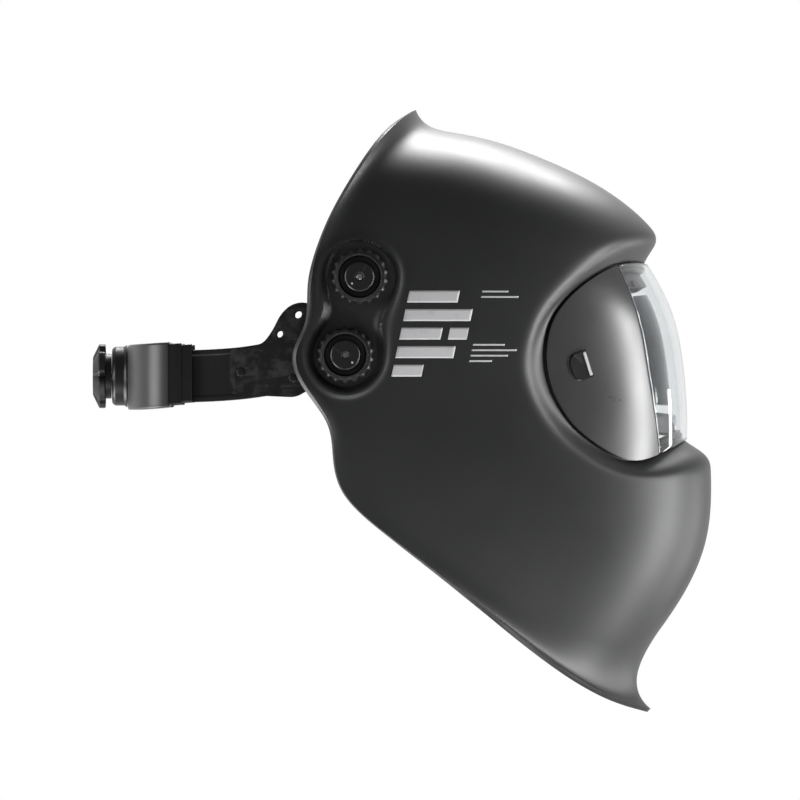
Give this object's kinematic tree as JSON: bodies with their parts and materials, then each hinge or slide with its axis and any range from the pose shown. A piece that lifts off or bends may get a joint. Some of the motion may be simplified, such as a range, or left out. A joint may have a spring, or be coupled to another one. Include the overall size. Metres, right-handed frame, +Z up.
{
  "type": "welding helmet",
  "caption": "Welding helmet with a flared face shell, wrap-round clear visor over a dark filter, side knobs and a ratchet head harness.",
  "frame": {"origin": "middle of the pivot axis that runs through the two lower side knobs, inside the wearer's head", "axes": "+X forward out of the visor, +Y to the wearer's left along the pivot axis, +Z up"},
  "size_m": [0.3338, 0.23, 0.3247],
  "materials": {
    "shell": "satin",
    "visor_cheek": "satin",
    "clear_lens": "clear, polished",
    "filter": "dark, glossy",
    "black_plastic": "fine texture",
    "knob": "semi-gloss",
    "nape_cover": "satin",
    "steel": "satin",
    "rubber": "matt",
    "pad": "soft terry",
    "board": "solder mask"
  },
  "bodies": {
    "harness": {"harness_band": "black_plastic", "sweatband": "pad", "crown_strap_rear": "black_plastic", "crown_strap_front": "black_plastic", "crown_strap_rear_peg_right": "black_plastic", "crown_strap_rear_peg_left": "black_plastic", "crown_strap_front_peg_right": "black_plastic", "crown_strap_front_peg_left": "black_plastic", "side_plate_right": "black_plastic", "side_plate_left": "black_plastic", "plate_rivet_right_1": "steel", "plate_rivet_right_2": "steel", "plate_rivet_left_1": "steel", "plate_rivet_left_2": "steel"},
    "pivot_carriage": {"pivot_bolt_right": "steel", "pivot_bolt_left": "steel", "slide_carriage_right": "black_plastic", "slide_carriage_left": "black_plastic", "friction_washer_right": "rubber", "friction_washer_left": "rubber"},
    "shell": {"helmet_shell": "shell", "cheek_cover_right": "visor_cheek", "cheek_cover_left": "visor_cheek", "cover_lens": "clear_lens", "visor_seal": "rubber", "filter_housing": "black_plastic", "filter_glass": "filter", "filter_back_frame": "black_plastic", "inner_cover_lens": "clear_lens", "solar_cell": "filter", "light_sensor_right": "filter", "light_sensor_left": "filter", "pivot_bush_right": "black_plastic", "pivot_bush_left": "black_plastic", "shade_potentiometer": "steel", "delay_potentiometer": "steel", "battery_tray": "black_plastic", "coin_cell": "steel", "circuit_board": "board"},
    "latch_right": {"lens_latch_right": "black_plastic"},
    "latch_left": {"lens_latch_left": "black_plastic"},
    "shade_dial": {"shade_knob": "knob", "shade_shaft": "steel"},
    "delay_dial": {"delay_knob": "knob", "delay_shaft": "steel"},
    "pivot_nut_right": {"pivot_knob_right": "knob"},
    "pivot_nut_left": {"pivot_knob_left": "knob"},
    "nape": {"nape_cover": "nape_cover", "nape_back_plate": "black_plastic", "nape_pad": "pad", "ratchet_housing": "black_plastic"},
    "ratchet": {"ratchet_knob": "knob", "knob_screw": "steel", "ratchet_spindle": "steel", "ratchet_pinion": "black_plastic"},
    "rack_right": {"band_rack_right": "black_plastic"},
    "rack_left": {"band_rack_left": "black_plastic"}
  },
  "joints": [
    {"name": "distance_slide", "type": "slide", "parent": "harness", "child": "pivot_carriage", "axis": [1, 0, 0], "range_m": [-0.008, 0.008]},
    {"name": "shell_flip", "type": "hinge", "parent": "pivot_carriage", "child": "shell", "pos_m": [0, 0, 0], "axis": [0, -1, 0], "range_deg": [0, 75]},
    {"name": "pivot_knob_right_turn", "type": "hinge", "parent": "pivot_carriage", "child": "pivot_nut_right", "pos_m": [0, -0.11, 0], "axis": [0, -1, 0], "range_deg": [-90, 90]},
    {"name": "pivot_knob_left_turn", "type": "hinge", "parent": "pivot_carriage", "child": "pivot_nut_left", "pos_m": [0, 0.11, 0], "axis": [0, 1, 0], "range_deg": [-90, 90]},
    {"name": "shade_knob_turn", "type": "hinge", "parent": "shell", "child": "shade_dial", "pos_m": [0.0076, -0.11, 0.0419], "axis": [0, -1, 0], "range_deg": [-135, 135]},
    {"name": "delay_knob_turn", "type": "hinge", "parent": "shell", "child": "delay_dial", "pos_m": [0.0076, 0.11, 0.0419], "axis": [0, 1, 0], "range_deg": [-135, 135]},
    {"name": "latch_right_press", "type": "slide", "parent": "shell", "child": "latch_right", "axis": [-0.453, 0.8915, -0.0045], "range_m": [0, 0.0015], "stiffness_N_per_m": 400},
    {"name": "latch_left_press", "type": "slide", "parent": "shell", "child": "latch_left", "axis": [-0.453, -0.8915, -0.0045], "range_m": [0, 0.0015], "stiffness_N_per_m": 400},
    {"name": "nape_slide", "type": "slide", "parent": "harness", "child": "nape", "axis": [1, 0, 0], "range_m": [-0.008, 0.01]},
    {"name": "ratchet_turn", "type": "hinge", "parent": "nape", "child": "ratchet", "pos_m": [-0.12, 0, -0.0111], "axis": [1, 0, 0], "range_deg": [-120, 150]},
    {"name": "rack_right_slide", "type": "slide", "parent": "nape", "child": "rack_right", "axis": [0, 1, 0], "range_m": [-0.0085, 0.0105]},
    {"name": "rack_left_slide", "type": "slide", "parent": "nape", "child": "rack_left", "axis": [0, -1, 0], "range_m": [-0.0085, 0.0105]}
  ],
  "couplings": [
    {"joint": "ratchet_turn", "follows": "nape_slide", "rad_per_m": 250},
    {"joint": "rack_right_slide", "follows": "nape_slide", "ratio": 1},
    {"joint": "rack_left_slide", "follows": "nape_slide", "ratio": 1}
  ]
}
